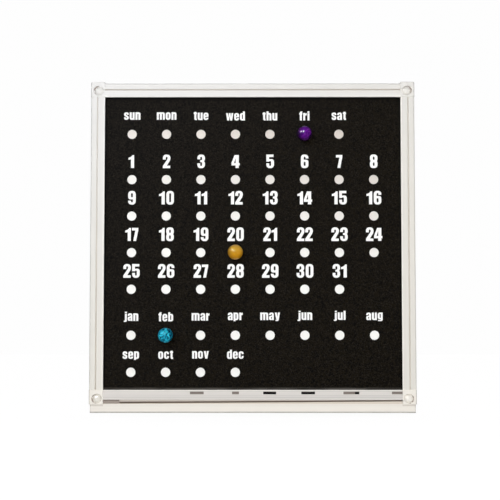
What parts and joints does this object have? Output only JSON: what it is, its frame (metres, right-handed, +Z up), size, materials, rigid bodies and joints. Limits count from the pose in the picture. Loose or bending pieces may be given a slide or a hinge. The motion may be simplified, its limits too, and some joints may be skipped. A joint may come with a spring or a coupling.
{
  "type": "perpetual calendar",
  "caption": "Square wall calendar: black magnetic board of weekdays, dates and months in a white frame, with stone bead markers that lift from dot to dot.",
  "frame": {"origin": "centre of the frame on the wall plane", "axes": "+X to the viewer's right, +Y into the wall, +Z up; the face looks along -Y"},
  "size_m": [0.3, 0.0238, 0.3058],
  "materials": {
    "backing_board": "plain pressed board",
    "fibre_core": "raw fibre board",
    "white_enamel": "glossy white enamel on sheet steel",
    "black_face": "fine grained matt black",
    "frame_white": "satin off-white extrusion",
    "rail_grey": "satin grey-white extrusion",
    "corner_white": "satin off-white moulding",
    "cap_white": "polished off-white moulding",
    "screw_steel": "zinc plated",
    "magnet_nickel": "nickel plated",
    "purple_stone": "polished",
    "amber_stone": "polished",
    "turquoise_stone": "polished, with darker veins"
  },
  "bodies": {
    "board": {"back_sheet": "backing_board", "core_board": "fibre_core", "steel_sheet": "white_enamel", "face_sheet": "black_face", "top_rail": "frame_white", "left_rail": "frame_white", "right_rail": "frame_white", "tray": "frame_white", "bottom_rail": "rail_grey", "corner_top_left": "corner_white", "corner_top_right": "corner_white", "corner_bottom_left": "corner_white", "corner_bottom_right": "corner_white", "frame_screws": "screw_steel", "tray_screws": "screw_steel"},
    "weekday_marker": {"weekday_bead": "purple_stone", "weekday_magnet": "magnet_nickel"},
    "date_marker": {"date_bead": "amber_stone", "date_magnet": "magnet_nickel"},
    "month_marker": {"month_bead": "turquoise_stone", "month_magnet": "magnet_nickel"},
    "cap_top_left_body": {"cap_top_left": "cap_white"},
    "cap_top_right_body": {"cap_top_right": "cap_white"},
    "cap_bottom_left_body": {"cap_bottom_left": "cap_white"},
    "cap_bottom_right_body": {"cap_bottom_right": "cap_white"}
  },
  "joints": [
    {"name": "weekday_marker_lift", "type": "slide", "parent": "board", "child": "weekday_marker", "axis": [0, -1, 0], "range_m": [0, 0.03]},
    {"name": "date_marker_lift", "type": "slide", "parent": "board", "child": "date_marker", "axis": [0, -1, 0], "range_m": [0, 0.03]},
    {"name": "month_marker_lift", "type": "slide", "parent": "board", "child": "month_marker", "axis": [0, -1, 0], "range_m": [0, 0.03]},
    {"name": "cap_top_left_pull", "type": "slide", "parent": "board", "child": "cap_top_left_body", "axis": [0, -1, 0], "range_m": [0, 0.012]},
    {"name": "cap_top_right_pull", "type": "slide", "parent": "board", "child": "cap_top_right_body", "axis": [0, -1, 0], "range_m": [0, 0.012]},
    {"name": "cap_bottom_left_pull", "type": "slide", "parent": "board", "child": "cap_bottom_left_body", "axis": [0, -1, 0], "range_m": [0, 0.012]},
    {"name": "cap_bottom_right_pull", "type": "slide", "parent": "board", "child": "cap_bottom_right_body", "axis": [0, -1, 0], "range_m": [0, 0.012]}
  ]
}
